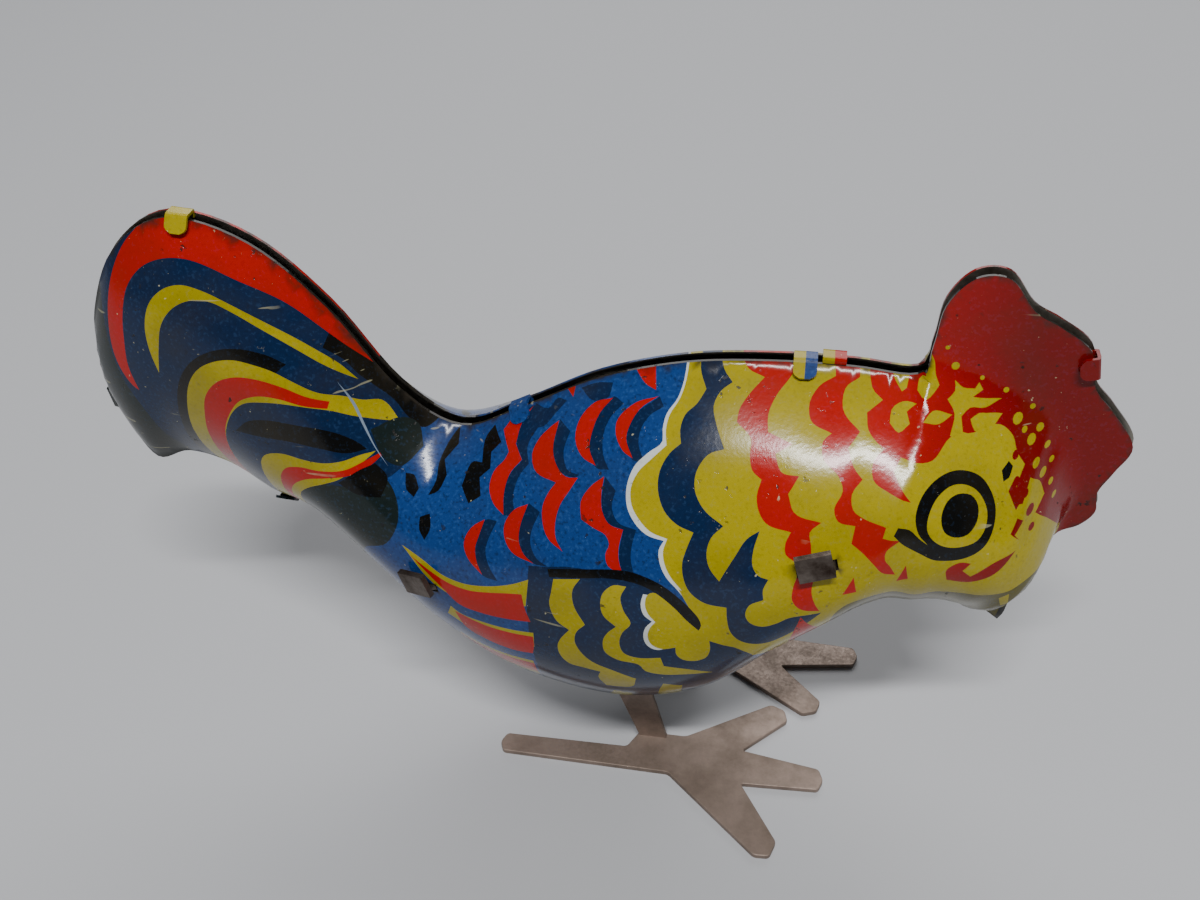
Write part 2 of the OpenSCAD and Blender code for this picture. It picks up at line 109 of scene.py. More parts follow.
# Spring steel tempered blue: dark and smooth.
blued_steel = worn_metal("blued_spring_steel", "3B4658", "23262C", 0.28, 4, 0.3)
# Stamped brass, tarnished to a brown yellow.
brass = worn_metal("stamped_brass", "C79F4E", "7F5F2A", 0.34, 2.5, 0.2)
finish_nodes(turned_steel, "front_pillar", "rear_pillar", "lower_pillar", "spring_post",
             "leg_axle", "click", "click_rivet", "winding_arbor", "ratchet_wheel", "arbor_nut",
             "second_arbor", "crank_arbor", "crank_disc", "crank_pin", "yoke_rivets",
             "leg_bushes")
finish_nodes(blued_steel, "mainspring", "click_spring")
finish_nodes(brass, "great_wheel", "great_bush", "second_pinion", "second_wheel",
             "crank_pinion")


# --- Motor plates, yoke and key ---------------------------------------------
# Parts whose edges show: the plates end in bent lugs that hold the shells, the
# yoke joins the legs, and the key is a stamped wing on a rolled hub.  Blanking
# and tumbling leave their edges a little round.
def piece(name, mesh_source, body, replaced, materials):
    """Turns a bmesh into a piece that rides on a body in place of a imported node."""
    mesh = bpy.data.meshes.new(name)
    mesh_source.to_mesh(mesh)
    mesh_source.free()
    made = bpy.data.objects.new(name, mesh)
    bpy.context.scene.collection.objects.link(made)
    for material in materials:
        mesh.materials.append(material)
    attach(made, body)
    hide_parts(replaced)
    return made


def tumbled(node, width, body, material):
    """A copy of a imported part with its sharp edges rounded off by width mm."""
    work = bmesh.new()
    work.from_mesh(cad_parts[node].data)
    bmesh.ops.remove_doubles(work, verts=work.verts, dist=1e-6)
    bmesh.ops.dissolve_limit(work, angle_limit=math.radians(2), verts=work.verts,
                             edges=work.edges)
    sharp = [e for e in work.edges
             if len(e.link_faces) == 2 and e.calc_face_angle() > math.radians(50)]
    bmesh.ops.bevel(work, geom=sharp, affect="EDGES", offset=width / 1000, segments=2,
                    profile=0.5, material=-1, clamp_overlap=True)
    for face in work.faces:
        face.smooth = False
    return piece(node + "_tumbled", work, body, node, [material])


# Nickel on steel, worn warm grey where fingers turn it.
key_nickel = worn_metal("nickelled_key_steel", "C9C4B8", "8A8275", 0.26, 4, 0.3)
tumbled("right_plate", 0.1, "body", frame_steel)
tumbled("left_plate", 0.1, "body", frame_steel)
tumbled("leg_yoke", 0.08, "legs", frame_steel)
tumbled("key", 0.18, "winder", key_nickel)


# --- Legs -------------------------------------------------------------------
# Each leg and its three-toed foot is one stamping of tinned sheet, bent at the
# foot and hung on the axle by an eye.  The tin has gone grey brown and patchy.
MAKER_ORIGIN = (8.4, -3.9)


def point(x, y, z):
    """A place in the maker's frame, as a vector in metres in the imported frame."""
    return Vector((x + MAKER_ORIGIN[0], y + MAKER_ORIGIN[1], z)) / 1000


def blank(outline, place, thickness, corner, edge):
    """A flat sheet cut to outline: place(p) puts a point, thickness is the way it extrudes."""
    sheet = bmesh.new()
    face = sheet.faces.new([sheet.verts.new(place(p)) for p in outline])
    bmesh.ops.bevel(sheet, geom=list(face.verts), affect="VERTICES", offset=corner / 1000,
                    segments=4, profile=0.5, material=-1, clamp_overlap=True)
    raised = bmesh.ops.extrude_face_region(sheet, geom=list(sheet.faces))
    moved = [v for v in raised["geom"] if isinstance(v, bmesh.types.BMVert)]
    bmesh.ops.translate(sheet, vec=thickness, verts=moved)
    bmesh.ops.recalc_face_normals(sheet, faces=sheet.faces)
    rim = [e for e in sheet.edges if any(len(f.verts) > 4 for f in e.link_faces)]
    bmesh.ops.bevel(sheet, geom=rim, affect="EDGES", offset=edge / 1000, segments=2,
                    profile=0.5, material=-1, clamp_overlap=True)
    return sheet


LEG_T = 0.6
LEG_W = 3
PIVOT = (-4.5, 14.3)
EYE_R = 2.5
# Distance of the feet and of the leg strips from the toy's middle plane
FOOT_Y = 9.2
STRIP_Y = 5.5
# How far the heel and the foot's end of the strip lie behind the leg's own mark
HEEL_BACK = 18
STRIP_BACK = 0.9
# How far the left leg's mark lies ahead of the right one's
LEFT_LEAD = 3.6
# Outline of a foot from its heel, x forwards and y outwards
FOOT = [(0.5, -1.2), (0, 0), (0.5, 1.2), (19.2, 1.4), (29.2, 10.2), (30.8, 10.1), (31.4, 8.3),
        (27.2, 1.7), (35.5, 1.3), (36, 0), (35.5, -1.4), (27, -2.7), (31.8, -7.5), (31.4, -9),
        (29.8, -9.6), (20.6, -3.7), (15.4, -3.7), (14.2, -1.4)]
# Tinned sheet dulled by handling: soft grey brown with darker blotches.
leg_tin = worn_metal("tinned_sheet_legs", "8E7D72", "6B5D52", 0.5, 6, 0.35, 0.45)
for side, lead in ((-1, 0.0), (1, LEFT_LEAD)):
    heel = lead - HEEL_BACK
    foot_at = lead - STRIP_BACK
    leg = blank(FOOT, lambda p: point(heel + p[0], side * (FOOT_Y + p[1]), 0),
                Vector((0, 0, LEG_T / 1000)), 0.35, 0.1)
    eye = [(PIVOT[0] + EYE_R * math.cos(a), PIVOT[1] + EYE_R * math.sin(a))
           for a in [math.radians(d) for d in range(-30, 211, 15)]]
    strip = blank([(foot_at - LEG_W / 2, 0), (foot_at + LEG_W / 2, 0)] + eye,
                  lambda p: point(p[0], side * STRIP_Y, p[1]),
                  Vector((0, side * LEG_T / 1000, 0)), 0.05, 0.1)
    mesh = bpy.data.meshes.new("strip")
    strip.to_mesh(mesh)
    strip.free()
    leg.from_mesh(mesh)
    bpy.data.meshes.remove(mesh)
    node = "right_leg" if side < 0 else "left_leg"
    piece(node + "_stamping", leg, "legs", node, [leg_tin])


# --- Body shells --------------------------------------------------------------
# Two half shells of 0.3 mm tinplate: printed flat in oil inks, varnished, blanked,
# pressed over a die, then joined by tabs bent from one rim over the other.
TIN = 0.3
PRESS_DEPTH = 14.8
PRESS_ROUND = 2.15
RIM_GAP = 0.7
RIM_LIP = 0.3
HEAD_CENTRE = (24.3, 35.8)
HEAD_R = 13.2
COMB_FROM = 20
# From the neck to the face the upper side of the pressing runs out softly
NECK_FROM = 20
NECK_BLEND = 8
# Bottom rim x, z, top rim x, z, and share of the pressing depth, from tail to beak
STATIONS = [
    (-58.2, 40.6, -58.1, 44.2, 0.02), (-57.5, 36.0, -56.9, 49.4, 0.10),
    (-55.4, 31.2, -52.9, 56.2, 0.20), (-51.4, 32.4, -46.5, 60.0, 0.28),
    (-47.0, 31.2, -38.9, 57.8, 0.35), (-42.4, 27.8, -32.4, 51.4, 0.42),
    (-38.0, 26.8, -26.8, 42.8, 0.48), (-33.0, 21.6, -20.8, 38.8, 0.58),
    (-26.0, 13.2, -14.0, 41.8, 0.75), (-17.0, 6.4, -6.6, 45.7, 0.91),
    (-6.0, 3.8, 1.4, 48.1, 1.00), (3.2, 6.8, 9.4, 48.9, 1.00),
    (9.6, 14.4, 16.4, 48.9, 0.95), (15.4, 20.4, 22.0, 48.6, 0.86),
    (19.0, 22.6, 22.9, 51.6, 0.81), (21.4, 23.2, 23.4, 55.6, 0.77),
    (23.2, 22.9, 25.4, 58.4, 0.75), (24.2, 23.0, 28.2, 58.5, 0.72),
    (25.0, 23.1, 30.6, 55.6, 0.70), (25.7, 23.1, 33.0, 54.2, 0.68),
    (26.3, 23.1, 35.9, 52.0, 0.66), (26.8, 23.0, 37.0, 48.3, 0.63),
    (27.2, 23.0, 39.0, 45.9, 0.59), (27.6, 22.9, 41.4, 42.4, 0.54),
    (28.0, 22.8, 40.5, 39.4, 0.48), (28.3, 22.7, 39.6, 36.9, 0.40),
    (28.7, 22.5, 39.9, 34.6, 0.30), (29.1, 22.3, 38.8, 32.8, 0.20),
    (29.6, 22.0, 36.8, 31.4, 0.13), (30.8, 21.4, 35.3, 27.8, 0.08),
    (32.2, 20.5, 34.6, 24.2, 0.04), (33.7, 19.3, 34.2, 20.7, 0.02)]
LAST = len(STATIONS) - 1


def station(u):
    """The die's section at u, smoothly between the numbered ones."""
    i = min(int(u), LAST - 1)
    a, b, c, d = [STATIONS[max(0, min(LAST, i + k))] for k in (-1, 0, 1, 2)]
    t = u - i
    return [0.5 * (2 * q + (r - p) * t + (2 * p - 5 * q + 4 * r - s) * t * t
                   + (3 * q - 3 * r + s - p) * t ** 3) for p, q, r, s in zip(a, b, c, d)]


def comb_share(st):
    """Share of a section that lies past the round of the head, on the flat comb."""
    span = Vector((st[2] - st[0], st[3] - st[1]))
    along = span.normalized()
    back = Vector((st[0] - HEAD_CENTRE[0], st[1] - HEAD_CENTRE[1]))
    b = back.dot(along)
    inside = HEAD_R ** 2 - (back.length_squared - b * b)
    if st[2] < COMB_FROM or inside < 0:
        return 0
    return max(0, 1 - (math.sqrt(inside) - b) / span.length)


def die_point(u, v):
    """Place on the die: x, pressed height, z, with v from the bottom rim to the top."""
    st = station(u)
    s = min(1, 2 * v / (1 - comb_share(st)) - 1)
    height = PRESS_DEPTH * st[4] * (1 - abs(s) ** PRESS_ROUND)
    neck = max(0, min(1, (st[2] - NECK_FROM) / NECK_BLEND))
    height *= 1 - neck * neck * (3 - 2 * neck) * max(0, s) ** 3
    return Vector((st[0] + (st[2] - st[0]) * v, height, st[1] + (st[3] - st[1]) * v))


# Part of the die that is stoned smooth, where the head rises out of the flat comb
STONED_FROM = 12.2
STONED_ABOVE = 0.4
STONING_PASSES = 40
die = bmesh.new()
bmesh.ops.create_grid(die, x_segments=10 * LAST, y_segments=80, size=0.5)
crease = []
for vert in die.verts:
    u, v = (vert.co.x + 0.5) * LAST, vert.co.y + 0.5
    if u > STONED_FROM and v > STONED_ABOVE and not vert.is_boundary:
        crease.append(vert)
    vert.co = die_point(u, v)
for _ in range(STONING_PASSES):
    bmesh.ops.smooth_vert(die, verts=crease, factor=0.5, use_axis_y=True)
die_face = BVHTree.FromBMesh(die)
die.free()


def pressed(x, z):
    """How far the sheet is pressed out at a place on the print."""
    hit = die_face.ray_cast(Vector((x, 40, z)), Vector((0, -1, 0)))[0]
    return max(0, hit.y) if hit else 0


def slope(x, z):
    """The outward direction of the pressed sheet, from heights 0.25 mm to each side."""
    step = 0.25
    rise = [pressed(x + step, z) - pressed(x - step, z),
            pressed(x, z + step) - pressed(x, z - step)]
    return Vector((-rise[0] / (2 * step), 1, -rise[1] / (2 * step))).normalized()


def rim_line(lip):
    """The shell's outline, bottom rim forwards and top rim back, spread by the lip."""
    bottom, top = [], []
    for k in range(6 * LAST + 1):
        st = station(k / 6)
        low, high = Vector(st[0:2]), Vector(st[2:4])
        out = (high - low).normalized() * lip
        bottom.append(low - out)
        top.append(high + out)
    return bottom + top[::-1]


def round_edge(spot, radius, parts=40):
    """A round outline, for a hole or a dot of ink."""
    return [Vector(spot) + radius * Vector((math.cos(a), math.sin(a)))
            for a in [math.tau * k / parts for k in range(parts)]]


def ink_edge(text):
    """A closed smooth outline through 'x z x z ...', left sharp where it turns hard."""
    numbers = [float(n) for n in text.split()]
    if len(numbers) == 3:
        return round_edge(numbers[:2], numbers[2], 10)
    dots = [Vector(numbers[i:i + 2]) for i in range(0, len(numbers), 2)]
    count = len(dots)
    pull = []
    for i, dot in enumerate(dots):
        before, after = dot - dots[i - 1], dots[(i + 1) % count] - dot
        sharp = before.angle(after, 0) > math.radians(62)
        pull.append(None if sharp else (after.normalized() + before.normalized()) / 2)
    line = []
    for i, dot in enumerate(dots):
        to = dots[(i + 1) % count]
        step = to - dot
        reach = step.length
        leave = pull[i] * reach if pull[i] else step
        arrive = pull[(i + 1) % count] * reach if pull[(i + 1) % count] else step
        parts = max(1, min(6, round(reach / 0.35)))
        for k in range(parts):
            t = k / parts
            line.append((2 * t ** 3 - 3 * t * t + 1) * dot + (t ** 3 - 2 * t * t + t) * leave
                        + (3 * t * t - 2 * t ** 3) * to + (t ** 3 - t * t) * arrive)
    return line


# Printing inks, with how coarse each one's grain is
INKS = {"blue": ("163A74", 1.0), "navy": ("0C2140", 0.5), "slate": ("16201F", 0.4),
        "red": ("AC0C04", 0.2), "crimson": ("760502", 0.2), "yellow": ("A39402", 0.3),
        # The olive is yellow darkened as painted shade, used only on the chin
        "chin_shade_olive": ("57500C", 0.4), "white": ("CCD0CA", 0.2), "black": ("0A0A09", 0.2),
        # The pale grey-blue rub colour is a painted highlight, laid where the pressed crease at the
        # tail's root would catch the light
        "rub_and_painted_highlight": ("7C8C9C", 0.2)}
# The picture in printing order, each colour over the ones before it
PICTURE = [
    # Tail: navy feathers with red and yellow edges
    ("navy", "-62 25 -62 62 -44 62 -27 47 -26 43 -25.2 40.5 -24.6 38 -26.4 36.4 -28 36 -31 35.5"
             " -33 33 -33 28 -36 20 -50 20"),
    ("slate", "-62 25 -62 56 -55.6 56 -55 52 -54.8 48 -54.2 44 -52.8 40 -52 36 -50.6 32 -50 25"),
    ("slate", "-33.5 35.5 -31 35.6 -28.4 36.6 -26.8 36 -25.6 33 -27 30 -30 28 -31 20 -38 22"
              " -38 31"),
    ("black", "-49.6 30 -49.2 37 -48.2 41.8 -46.8 45.2 -44.9 47.5 -42.6 48.8 -40 49.2"
              " -37.4 48.6 -35.6 47.6 -38 46 -43 45 -46 40 -47 30"),
    ("black", "-32.6 48.4 -31 46.9 -29.8 45.2 -28.4 43.6 -26.8 41.9 -25.6 40.4 -24 39.2 -22 40"
              " -25 44 -28 48 -31 52"),
    ("red", "-54.2 45.6 -54.2 49.8 -53.2 53.8 -51.4 57 -49 59.4 -46.5 62 -38 61 -27.8 47 -28.6 45.4"
            " -30 47 -33 50.3 -36 53 -40 55.2 -44 56.8 -46.6 56.8 -49 55.8 -51 53.7 -52 51"
            " -52.5 48 -52.8 45.4 -52.4 42.6 -53 43"),
    ("yellow", "-49.1 45.4 -49.5 48 -49.4 50.5 -48.5 52.7 -46.8 54.2 -45 54.7 -43 54.3 -40.5 53.2"
               " -37 51.2 -34 49.1 -31.5 46.9 -29.8 44.8 -31.8 46.4 -34.4 48.5 -37.3 50.6"
               " -40.5 52.6 -42.5 53.4 -44.5 53.3 -46.2 52.4 -47.5 50.8 -48.3 48.4"),
    ("yellow", "-48.2 30 -47.9 38 -47 42 -45.8 45 -44.3 46.8 -42.4 47.8 -40.5 48.1 -38.6 47.7"
               " -37 47.1 -35 45.9 -33 44.7 -31 43.9 -29.4 43 -27.9 42.4 -26.2 40.3 -28 41 -30 41.9"
               " -32 42.9 -34 43.5 -36 43.9 -38 44 -40 43.7 -41.4 42.7 -42.8 40.6 -43.8 38"
               " -44.2 30"),
    ("red", "-46.4 30 -46 38 -45.3 41 -44.3 43.8 -42.5 45.7 -40.5 46.4 -38.5 46.3 -36 45.5"
            " -34 44.5 -32 43.7 -32.2 43.1 -34.4 43.7 -36.5 44.4 -38.5 44.6 -40.5 43.9 -42 42.2"
            " -43.2 40 -43.9 37.5 -44.3 30"),
    ("black", "-42 40 -40.2 41.6 -38 42.1 -35 41.8 -32 41 -29.6 39.6 -28.8 38.9 -30.6 38.8"
              " -33 39.4 -36 40 -39 40"),
    ("yellow", "-40.6 30 -40.2 36.2 -39.2 37.7 -37.2 38.4 -35 38.1 -33 37.9 -31 38.1 -29.4 38.5"
               " -28 38.6 -29.8 37.4 -31.4 36.3 -33.2 35.5 -35 34.6 -36.4 33.2 -37 30"),
    ("red", "-38.8 30 -38.2 35 -37.1 36.6 -35.6 37.1 -33.4 37 -31 37.2 -28.8 38 -26.9 38.6"
            " -28.4 37.5 -30.4 36.7 -33 36.2 -35 35.7 -36.6 34.6 -37.6 33 -38 30"),
    ("black", "-31.6 35.9 -29.4 37.2 -28 37.6 -26.8 36.2 -27.4 34.6 -29.6 34.8"),
    ("slate", "-28.6 40.4 -26.4 40.6 -24.6 39.6 -23.9 38 -25.6 37 -27.2 37.8"),
    # A thin pale streak down the crease where the tail meets the body: painted highlight of the
    # pressed crease
    ("rub_and_painted_highlight", "-31.4 45.2 -30.2 43 -29.2 40.8 -28 38.7 -26.8 37.1 -28.1 39 -29.1 41 -30.1 43.2"),
    # Back: black feather shadows and red crescents on blue
    ("black", "-19.4 36 -18.4 35.2 -17.2 36 -17.6 37 -16.6 37.8 -16.8 38.6 -15.9 39.4 -17 39.8"
              " -17.8 38.8 -17.6 37.8 -18.8 37.4"),
    ("black", "-22.8 34.8 -21.8 35.2 -21.2 36.2 -21.7 37 -20.6 37.9 -20.8 38.8 -21.6 38 -22.2 36.8"
              " -22.2 35.8"),
    ("black", "-23.4 33.2 -22.4 33.6 -22.2 32.6 -22.8 31.4 -23.4 32.2"),
    ("black", "-25.2 36.4 -24.4 36.2 -23.8 35.2 -24.2 34.6 -25 35.2"),
    ("navy", "-12.9 42.3 -11.4 42.6 -10.6 43.4 -9.6 43.6 -10.6 42.6 -11.6 41.6 -12.5 41.2"),
    ("navy", "-8.3 44.7 -6.8 45.4 -5.2 45.8 -5.4 45 -7 44.4"),
    ("navy", "-14.3 41 -12.9 42.2 -11.4 42.2 -12.3 41.2 -13 40 -12.6 39.2 -13.4 38.3 -13.8 37"
             " -13.4 35.6 -14.6 35.4 -14.9 37 -14.4 38.1 -13.3 39.2 -14.3 39.9"),
    ("navy", "-16.4 34.6 -15.2 34.8 -15.9 33.4 -16.2 32.2 -15.8 31 -14.9 29.8 -16.5 29.9 -17.2 31.2"
             " -17.3 32.4 -17 33.4"),
    ("navy", "-12.1 36.9 -10.9 36.6 -11.6 35 -11.6 34 -10.9 33 -9.8 32.6 -11.2 32.5 -12.4 33.2"
             " -13 34.2 -12.8 35.4"),
    ("navy", "-10 42.5 -8.8 42.2 -9.2 40.9 -8.7 40 -7.4 39.9 -8.2 39.2 -8.2 38.7 -7.9 36.9 -8 35.4"
             " -7.3 34.2 -8.4 34.1 -9.2 35.2 -9.3 36.4 -9 37.6 -7.6 39.6 -9.8 39.8 -10.4 40.8"),
    ("navy", "-4.9 45.1 -3.9 44.9 -5 43.9 -5.5 42.8 -5.3 41.6 -4.6 40.8 -5.9 40.7 -6.8 41.7"
             " -6.7 42.9 -6 44.1"),
    ("navy", "-0.6 45.9 -0.1 45.4 -1.3 44.7 -2 43.8 -2.1 42.9 -1.4 41.9 -2.5 41.8 -3.4 43 -3 44.2"),
    ("navy", "-4.9 40.3 -3.8 39.6 -4 38.4 -3.4 37.5 -1.6 37.2 -1.9 35.8 -1.9 34.8 -1.5 33.6"
             " -2.6 33.4 -3 34.8 -2.8 37 -4.4 37.3 -5 38.4"),
    ("red", "-15.9 40 -15 40.9 -14.3 41.1 -13.1 42.1 -14.1 40.8 -14.3 39.8 -13.4 39.2 -14.5 38"
            " -14.8 36.8 -14.6 35.4 -15.8 35.9 -16.4 36.7 -16.2 37.7 -15.2 38.7 -14.9 39.2"),
    ("red", "-16.5 34.6 -17.7 33.8 -18.4 32.8 -18.5 32 -18 31 -16.5 29.9 -17.1 31 -17.3 32.2"
            " -17 33.2"),
    ("red", "-12.2 36.8 -13.6 36 -14.4 34.8 -14.3 33.8 -13.5 32.9 -11.2 32.5 -12.2 33 -12.8 33.9"
            " -12.8 35"),
    ("red", "-10.1 42.4 -11 41.7 -12 40.7 -12.4 39.8 -12 39.1 -9.6 38.9 -10.3 38 -10.7 37"
            " -10.5 35.8 -9.9 34.9 -8.4 34.2 -9.1 35 -9.3 36.2 -9 37.5 -8.2 38.7 -7.5 39.7"
            " -8.7 39.5 -9.7 39.9 -10.3 40.7"),
    ("red", "-5 45 -6.8 44.3 -8.1 42.9 -8.2 41.9 -7.4 41.1 -5.9 40.8 -6.7 41.7 -6.6 42.8"
            " -6.1 43.9"),
    ("red", "-0.7 45.9 -2.9 45.1 -4.4 43.7 -4.3 43 -3.5 42.2 -2.5 41.9 -3.3 43 -3 44 -2.3 44.9"),
    ("red", "-3.3 47.1 -1.3 47.6 -1 46.2 -2.1 46.4"),
    ("red", "-5 40.3 -6.2 39.4 -7 38.2 -6.8 37 -5.5 36.6 -4.4 36.3 -4 35.7 -4.3 34.8 -4 33.9"
            " -2.6 33.5 -3 34.5 -3.1 35.5 -2.8 37 -4.2 37.2 -4.9 38 -5.1 39"),
    ("red", "-9.8 44.2 -8.9 44.7 -9 44"),
    ("red", "-2.1 41.4 -1.6 41.8 -1.1 42.2 -1.7 41.8"),
    # Neck: scalloped bands of yellow, navy and red, and the yellow face
    ("white", "1.6 50 1.5 47.2 1.1 46.1 0.2 45 0 44.1 0.1 43.4 -1.1 42.5 -2.3 41.4 -2.8 40"
              " -2.6 38.7 -1.8 37.7 -0.6 37 1 36.8 0.6 36 0.8 34.9 1.4 33.9 2.5 32.9 3.4 31.9"
              " 4.4 30.6 5 29.6 8 26 12 24 60 10 60 62 4 62"),
    ("yellow", "1.8 50 1.7 47.2 1.3 46.1 0.5 45 0.3 44.1 0.5 43.2 -0.7 42.2 -1.9 41.1 -2.4 40"
               " -2.2 38.9 -1.4 38 -0.3 37.3 1.3 37 1 36 1.2 35 1.8 34 2.8 33 3.7 31.9 4.6 30.6"
               " 5 29.6 8 26 12 24 60 10 60 62 4 62"),
    ("navy", "3.1 50 2.9 48 3.6 46.9 2.9 46 1.9 45.2 1.6 44.3 1.8 43.5 0.8 42.7 0.1 41.5 0.1 40.3"
             " 0.8 39 2 38.2 3.6 37.8 3.1 36.5 2.8 35.3 3 34 3.6 32.9 5 32 7 31.8 7.1 30.6 7.5 29"
             " 8.3 28 9.5 27.4 11 27.3 12.5 28.2 14 29.6 15.4 31.3 12.6 31 11.5 30.3 10.3 29.9"
             " 9.2 30.3 8.7 31.2 9 32.3 10.2 33 10.1 34 10.5 35 9.6 35.2 9 36 9 37.2 9.4 38.7"
             " 8.3 37.9 7.5 36.6 6.6 35 6.2 34.2 5.2 35.3 4.9 36.4 5.2 37.6 6.2 38.6 4.3 39.6"
             " 3.4 40.8 3.4 41.9 4.3 43.1 5.7 43.6 4.8 45 4.4 46 4.9 46.9 5.9 47.5 5 48.2 4.4 50"),
    ("red", "5.8 51 7 48.5 8.7 48 7.5 47 6.7 46 6.6 45.3 8 44.4 8 43.5 8.3 42.6 9.2 42.1 8.9 41"
            " 9.2 40 9.9 39.3 12.1 39 11.7 38.1 11.8 37.3 12.8 36.7 13 36 12.7 34.6 12.7 33.2"
            " 13.5 32.1 15.2 31.6 14.6 33 14.3 34.4 14.5 35.6 15.2 36.4 16.2 36.3 14.2 37"
            " 13.9 38.3 13.7 39.2 14.6 40 12.2 40.4 11.6 41.5 12.4 42.7 10.8 42.8 10.2 43.8"
            " 11.6 44.5 9.4 45 9.3 46 9.8 47 11.3 48.6 12 51"),
    ("red", "14.6 51 14.9 48.4 13.5 47.8 12.8 46.9 13 46 14.9 45.4 14.2 44.9 14.3 44 15.8 43"
            " 16.2 42.2 15.6 41 16 40.2 17.5 39.9 17.3 38.6 18.4 37.8 19.4 36.8 20.4 35.6 21.4 35.2"
            " 20.8 36.4 20.3 37.2 20.3 38 21.4 38.8 19.9 39.1 20.1 39.9 18 40.5 17.2 41 17 42"
            " 17.8 42.9 17 43.6 16.4 44.7 17.3 45.6 15.7 46.8 15.8 47.8 17 48.4 17 51"),
    ("red", "17.9 51 18.1 47.9 19.1 47.2 17.8 46.6 18 45.7 19.4 44.6 18.6 43.9 18.7 42.9 20 42.2"
            " 22 41.6 21 42.6 20.4 43.4 20.9 44.2 23.6 44 25 45.1 27 45.2 29.4 45.3 30.6 44.4"
            " 31 43.4 31.8 42.4 31.2 41.4 31 40.2 31.8 40 32.4 41.4 33.4 40.6 34 39.4 33.2 38.6"
            " 34.6 37.2 37 33 36.4 30 60 30 60 62 20 62"),
    ("red", "30.9 38.2 31.4 39.2 32 38.8 31.3 38 31.8 37.4"),
    ("red", "26 34 25.8 35.4 26.8 36.2 27.8 36 27.2 35.2 28 34.4 30 36 31.6 36.6 30 34.6 28 33.6"),
    ("red", "21.6 34.2 22.2 36.2 22.6 34.4"),
    ("red", "17 33.6 17.8 35.6 18.2 33.8"),
    # Yellow gaps in the red between neck and comb; three numbers are a round dot
    ("yellow", "19.8 46 20.6 45.5 21.5 46 21.2 46.6 22 47.1 20.8 47.1 19.9 46.7"),
    ("yellow", "19.4 49.6 20 48.3 20.7 47.6 21.1 47.8 21.3 48.6 22.2 49.4 22.2 50.4"),
    ("yellow", "22 47.8 22.8 47.5 23.4 47.9 23.8 48.4 23.4 49.2 23.2 50.2 22.8 51 22.4 50"
               " 22.6 49 22.1 48.4"),
    ("yellow", "22.6 46.2 23.4 46.8 25.1 46.4 24 46"),
    ("yellow", "24.6 47.4 25.2 47.9 25.1 48.7 25.9 48.1 26.9 48 27.2 48.5 27.6 47.9 26.8 47.4"
               " 28.2 47.2 29.3 47.1 28 46.6 26.6 46.7 25.9 46.2 26.1 45.3 27.3 45 26 44.8"
               " 25 45.2 25.3 46.4"),
    ("yellow", "26.7 46 27.1 45.3 28.5 45.1 29.5 46 28.9 46.1 28.1 46.2 27.4 46.3"),
    ("yellow", "25 49.9 0.35"), ("yellow", "24.1 51.6 0.2"), ("yellow", "27.4 48.9 0.2"),
    ("yellow", "30.9 45.5 0.45"), ("yellow", "33 44.5 0.35"), ("yellow", "32.3 43.8 0.4"),
    ("yellow", "33.9 42.9 0.3"), ("yellow", "32.9 42.1 0.35"), ("yellow", "31.6 44.6 0.25"),
    ("yellow", "34.5 41.5 0.25"), ("yellow", "33.7 41 0.35"), ("yellow", "34.6 39.9 0.25"),
    ("yellow", "29.6 47.8 0.25"), ("yellow", "32.1 46.3 0.25"), ("yellow", "35.1 38.6 0.25"),
    ("red", "30.9 43.2 0.3"), ("red", "31.1 41.6 0.3"),
    ("red", "30.4 41.2 30.9 41.8 31.6 40.2 31.2 39.8"),
    ("red", "32 40.6 0.3"), ("red", "32.6 39.2 0.4"), ("red", "32.9 37.8 0.3"),
    # Chin and beak; the olive on the chin is the face's yellow darkened as painted shade on the
    # underside of the head
    ("chin_shade_olive", "17.6 32 19.6 32.4 21.6 32.2 23.4 31.4 25.4 31.8 27.6 31.6 29.6 31.4 31.6 31.6"
              " 33.4 32.6 35 33 36 31 36 18 20 18 19.6 24 17 26 16.4 30"),
    ("black", "33.7 30.6 34.2 27 33.8 24 33.5 21 33.2 18 37 18 37 31 35 31.6"),
    ("yellow", "31.2 30.6 32 31.2 32.2 29.6 31.6 29.2"),
    ("yellow", "32.6 26.8 33.4 27 33.4 26 32.8 25.8"),
    ("yellow", "33.1 22.8 34 23.2 34.2 21.6 33.5 21.4"),
    # Breast below the neck bands
    ("red", "13.6 31 16 26.4 16.6 23 19.4 24.6 20 21 12 16 11.4 19.4 12.6 24 13 28"),
    ("yellow", "16.2 24.6 18.4 23.4 18.2 20.6 16.4 19.4 15.4 21.6"),
    ("navy", "9 24.6 11 22.6 13.4 20 11.6 16.4 14.8 17 12.4 14 8 9 6 14 5.4 20"),
    # Wing: yellow scallops on navy, under a black top edge
    ("navy", "-11.7 32.2 -9.7 32.6 -8 33 -6 33.2 -4 33.6 -2 33.7 -0.4 33.5 1.2 32.9 2.6 32 3.8 30.8"
             " 4.8 29.4 6.2 28 8.6 26.4 9.6 25 8.4 21 7 17 6 8 4 2 -4 0 -12 2 -11.7 20 -11.9 28"),
    ("yellow", "-9.2 31.6 -9.4 30.3 -9.6 29 -8.9 27.2 -7.7 26.4 -8.6 25 -9 23.8 -8.8 22.3 -8 21.2"
               " -6.6 21 -4.9 20.8 -5.2 19.6 -4.6 17.6 -2 18.2 -1.4 20.4 -3.4 21.4 -5.6 22.4"
               " -6.6 23.5 -7.2 25 -7 26.3 -6.1 27.5 -7.2 29.5 -7.3 31 -6.6 32.2"),
    ("yellow", "-4.4 31.3 -4.6 30 -4.3 29 -3.1 28 -3.9 27.1 -4.4 25.9 -4.2 24.3 -3 23.5 -1 23.2"
